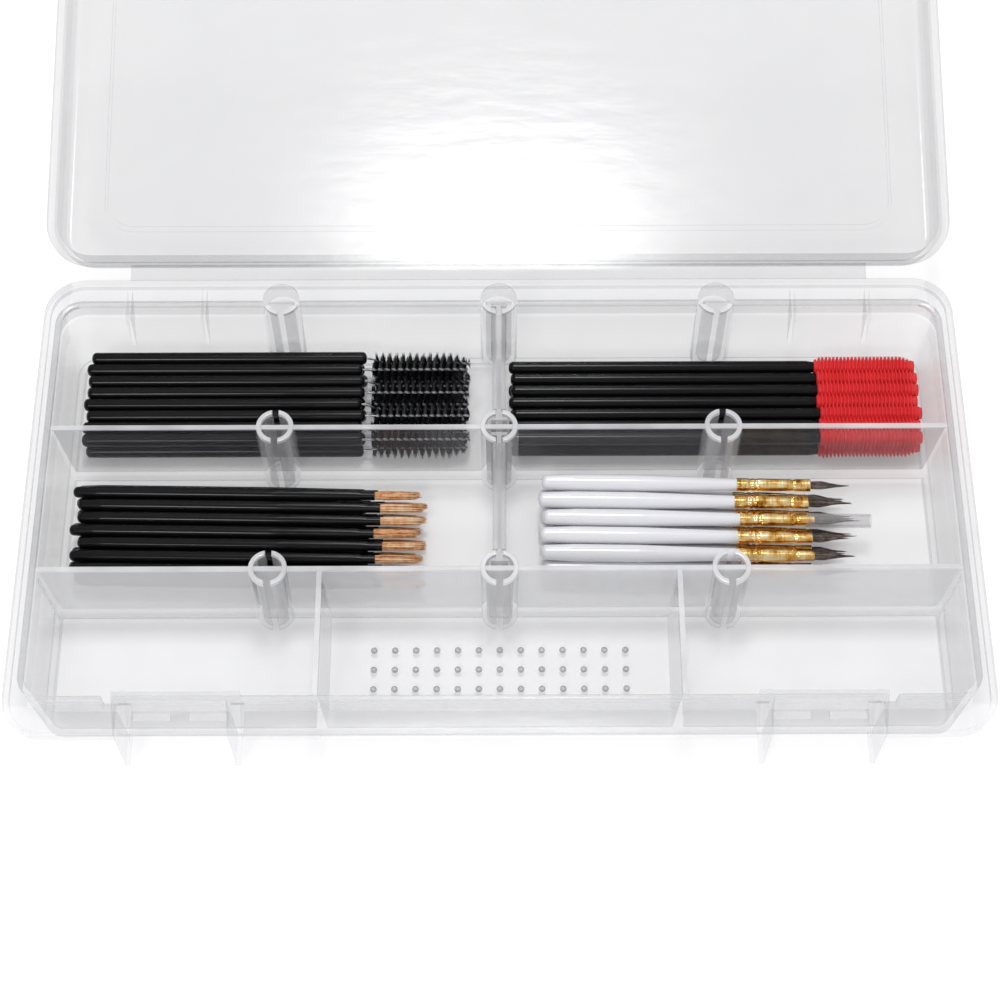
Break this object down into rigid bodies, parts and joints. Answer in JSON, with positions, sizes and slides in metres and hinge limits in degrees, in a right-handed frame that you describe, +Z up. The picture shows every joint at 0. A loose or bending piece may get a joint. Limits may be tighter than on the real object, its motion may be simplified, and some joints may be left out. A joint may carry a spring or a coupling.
{
  "type": "applicator case",
  "caption": "Clear hinged compartment case, open, with lift-out dividers and bundles of disposable spoolies, silicone wands, lip brushes and liner brushes.",
  "frame": {"origin": "centre of the tray's flat underside, under the middle of the flange's length and 62.3 mm behind its front edge", "axes": "+X along the tray to the right, +Y from the latch side to the hinge, +Z up"},
  "size_m": [0.2344, 0.2598, 0.0598],
  "materials": {
    "clear_polypropylene": "satin",
    "black_handle": "gloss",
    "black_bristle": "matte",
    "steel_wire": "satin",
    "red_silicone": "satin",
    "amber_hair": "satin",
    "white_handle": "gloss",
    "gold_ferrule": "polished",
    "brown_hair": "satin",
    "clear_sleeve": "gloss"
  },
  "bodies": {
    "base": {"base_tray": "clear_polypropylene", "lid_hinge_strip": "clear_polypropylene"},
    "lid": {"lid": "clear_polypropylene", "latch_strip_left": "clear_polypropylene", "latch_strip_right": "clear_polypropylene"},
    "latch_left": {"latch_left": "clear_polypropylene"},
    "latch_right": {"latch_right": "clear_polypropylene"},
    "rear_divider": {"rear_divider": "clear_polypropylene"},
    "middle_divider": {"middle_divider": "clear_polypropylene"},
    "spoolie_bundle": {"spoolie_handles_bottom": "black_handle", "spoolie_handles_middle": "black_handle", "spoolie_handles_top": "black_handle", "spoolie_wires_bottom": "steel_wire", "spoolie_wires_middle": "steel_wire", "spoolie_wires_top": "steel_wire", "spoolie_heads_bottom": "black_bristle", "spoolie_heads_middle": "black_bristle", "spoolie_heads_top": "black_bristle"},
    "silicone_bundle": {"silicone_handles_bottom": "black_handle", "silicone_handles_middle": "black_handle", "silicone_handles_top": "black_handle", "silicone_heads_bottom": "red_silicone", "silicone_heads_middle": "red_silicone", "silicone_heads_top": "red_silicone"},
    "lip_brush_bundle": {"lip_handles_bottom": "black_handle", "lip_handles_middle": "black_handle", "lip_handles_top": "black_handle", "lip_hair_bottom": "amber_hair", "lip_hair_middle": "amber_hair", "lip_hair_top": "amber_hair"},
    "liner_bundle": {"liner_handles_bottom": "white_handle", "liner_handles_middle": "white_handle", "liner_handles_top": "white_handle", "liner_ferrules_bottom": "gold_ferrule", "liner_ferrules_middle": "gold_ferrule", "liner_ferrules_top": "gold_ferrule", "liner_hair_bottom": "brown_hair", "liner_hair_middle": "brown_hair", "liner_hair_top": "brown_hair", "liner_tip_sleeve": "clear_sleeve"}
  },
  "joints": [
    {"name": "lid_hinge", "type": "hinge", "parent": "base", "child": "lid", "pos_m": [0, 0.0654, 0.0212], "axis": [-1, 0, 0], "range_deg": [-166, 0], "deforming": ["lid_hinge_strip"]},
    {"name": "latch_left_hinge", "type": "hinge", "parent": "lid", "child": "latch_left", "pos_m": [-0.07425, 0.19025, 0.04213], "axis": [-1, 0, 0], "range_deg": [-20, 60], "deforming": ["latch_strip_left"]},
    {"name": "latch_right_hinge", "type": "hinge", "parent": "lid", "child": "latch_right", "pos_m": [0.07425, 0.19025, 0.04213], "axis": [-1, 0, 0], "range_deg": [-20, 60], "deforming": ["latch_strip_right"]},
    {"name": "rear_divider_lift", "type": "slide", "parent": "base", "child": "rear_divider", "axis": [0, 0, 1], "range_m": [0, 0.035]},
    {"name": "middle_divider_lift", "type": "slide", "parent": "base", "child": "middle_divider", "axis": [0, 0, 1], "range_m": [0, 0.035]},
    {"name": "spoolie_lift", "type": "slide", "parent": "base", "child": "spoolie_bundle", "axis": [0, 0, 1], "range_m": [0, 0.04]},
    {"name": "silicone_lift", "type": "slide", "parent": "base", "child": "silicone_bundle", "axis": [0, 0, 1], "range_m": [0, 0.04]},
    {"name": "lip_brush_lift", "type": "slide", "parent": "base", "child": "lip_brush_bundle", "axis": [0, 0, 1], "range_m": [0, 0.04]},
    {"name": "liner_lift", "type": "slide", "parent": "base", "child": "liner_bundle", "axis": [0, 0, 1], "range_m": [0, 0.04]}
  ]
}
